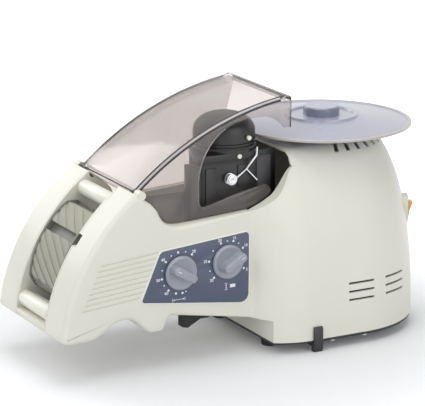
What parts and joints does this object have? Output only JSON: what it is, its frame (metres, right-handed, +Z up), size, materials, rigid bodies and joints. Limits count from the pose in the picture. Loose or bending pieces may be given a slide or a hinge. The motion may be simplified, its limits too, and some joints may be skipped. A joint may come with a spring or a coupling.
{
  "type": "electric tape dispenser",
  "caption": "Counter-top electric tape dispenser with a turning carousel nose, smoked hinged hood, two setting dials, a flat tape reel on a round rear housing and a rocker switch.",
  "frame": {"origin": "middle of the machine's box, at the table under its feet", "axes": "+Z up, the carousel nose points to -X, the dial panel is on the -Y side"},
  "size_m": [0.424, 0.1968, 0.257],
  "materials": {
    "cream_plastic": "satin moulded shell",
    "slate_panel": "printed satin panel",
    "knob_plastic": "semi-gloss",
    "smoke_plastic": "clear smoked sheet, polished",
    "reel_plastic": "glossy moulding",
    "hub_plastic": "glossy moulding",
    "pad_rubber": "matte ribbed",
    "rotor_plastic": "satin",
    "white_plastic": "satin",
    "black_plastic": "satin",
    "black_paint": "satin black over steel",
    "black_rubber": "matte",
    "steel": "bright",
    "bronze": "sintered bush",
    "roller_rubber": "ground rubber",
    "felt": "felt",
    "core_steel": "varnished laminations",
    "motor_case": "plated can",
    "board": "coated laminate",
    "rocker_orange": "glossy"
  },
  "bodies": {
    "chassis": {"base_plate": "black_paint", "base_feet": "black_rubber", "side_brackets": "black_paint", "base_screws": "steel", "rear_housing": "cream_plastic", "right_housing": "cream_plastic", "left_housing": "cream_plastic", "chin_bar": "cream_plastic", "carousel_cradle": "cream_plastic", "deck_plate": "black_plastic", "rest_pads": "black_rubber", "control_panel": "slate_panel", "length_potentiometer": "black_plastic", "width_potentiometer": "black_plastic", "hood_hinge_pins": "steel", "reel_spindle": "steel", "felt_washer": "felt", "carousel_bearings": "bronze", "drive_belt": "black_rubber", "carousel_motor": "motor_case", "roller_axles": "steel", "tape_sensor": "black_plastic", "feed_frame": "black_plastic", "drum_cover": "black_plastic", "feed_motor": "motor_case", "cutter_block": "black_plastic", "guide_plates": "black_paint", "guide_pins": "white_plastic", "guide_screw": "steel", "guide_washers": "steel", "guide_wire": "steel", "transformer": "core_steel", "circuit_board": "board", "board_spacers": "white_plastic", "switch_bezel": "cream_plastic", "power_inlet": "black_plastic"},
    "reel": {"reel_platter": "reel_plastic", "reel_hub": "hub_plastic"},
    "hood_cover": {"hood": "smoke_plastic"},
    "carousel": {"carousel_rotor": "rotor_plastic", "carousel_pads": "pad_rubber", "carousel_shaft": "steel", "carousel_pulley": "white_plastic"},
    "carousel_drive": {"motor_pulley": "white_plastic", "motor_shaft": "steel"},
    "upper_guide": {"upper_roller": "white_plastic"},
    "lower_guide": {"lower_roller": "white_plastic"},
    "length_dial": {"length_knob": "knob_plastic", "length_shaft": "steel"},
    "width_dial": {"width_knob": "knob_plastic", "width_shaft": "steel"},
    "rocker": {"power_rocker": "rocker_orange"},
    "feed_drive": {"feed_roller": "roller_rubber"},
    "feed_press": {"press_roller": "roller_rubber"},
    "cutter": {"cutter_blade": "steel"}
  },
  "joints": [
    {"name": "reel_spin", "type": "hinge", "parent": "chassis", "child": "reel", "pos_m": [0.117, 0, 0.212], "axis": [0, 0, 1], "continuous": true},
    {"name": "hood_hinge", "type": "hinge", "parent": "chassis", "child": "hood_cover", "pos_m": [-0.124, 0, 0.178], "axis": [0, -1, 0], "range_deg": [0, 70]},
    {"name": "carousel_spin", "type": "hinge", "parent": "chassis", "child": "carousel", "pos_m": [-0.15, 0, 0.102], "axis": [0, 1, 0], "continuous": true},
    {"name": "motor_spin", "type": "hinge", "parent": "chassis", "child": "carousel_drive", "pos_m": [-0.069, -0.045, 0.09], "axis": [0, 1, 0], "continuous": true},
    {"name": "upper_guide_spin", "type": "hinge", "parent": "chassis", "child": "upper_guide", "pos_m": [-0.1355, 0, 0.1645], "axis": [0, 1, 0], "continuous": true},
    {"name": "lower_guide_spin", "type": "hinge", "parent": "chassis", "child": "lower_guide", "pos_m": [-0.2015, 0, 0.06], "axis": [0, 1, 0], "continuous": true},
    {"name": "length_turn", "type": "hinge", "parent": "chassis", "child": "length_dial", "pos_m": [-0.0832, -0.07107, 0.0963], "axis": [0.0383, -0.9993, 0], "range_deg": [-98, 135]},
    {"name": "width_turn", "type": "hinge", "parent": "chassis", "child": "width_dial", "pos_m": [-0.0301, -0.06904, 0.0996], "axis": [0.0383, -0.9993, 0], "range_deg": [-60, 190]},
    {"name": "rocker_tilt", "type": "hinge", "parent": "chassis", "child": "rocker", "pos_m": [0.19184, -0.03814, 0.118], "axis": [0.454, 0.891, 0], "range_deg": [-28, 0]},
    {"name": "feed_spin", "type": "hinge", "parent": "chassis", "child": "feed_drive", "pos_m": [-0.022, -0.028, 0.17], "axis": [0, 0, 1], "continuous": true},
    {"name": "press_spin", "type": "hinge", "parent": "chassis", "child": "feed_press", "pos_m": [-0.022, -0.002, 0.17], "axis": [0, 0, 1], "continuous": true},
    {"name": "cutter_stroke", "type": "slide", "parent": "chassis", "child": "cutter", "axis": [0, 1, 0], "range_m": [0, 0.008]}
  ],
  "couplings": [
    {"joint": "motor_spin", "follows": "carousel_spin", "ratio": 1},
    {"joint": "press_spin", "follows": "feed_spin", "ratio": -1}
  ]
}
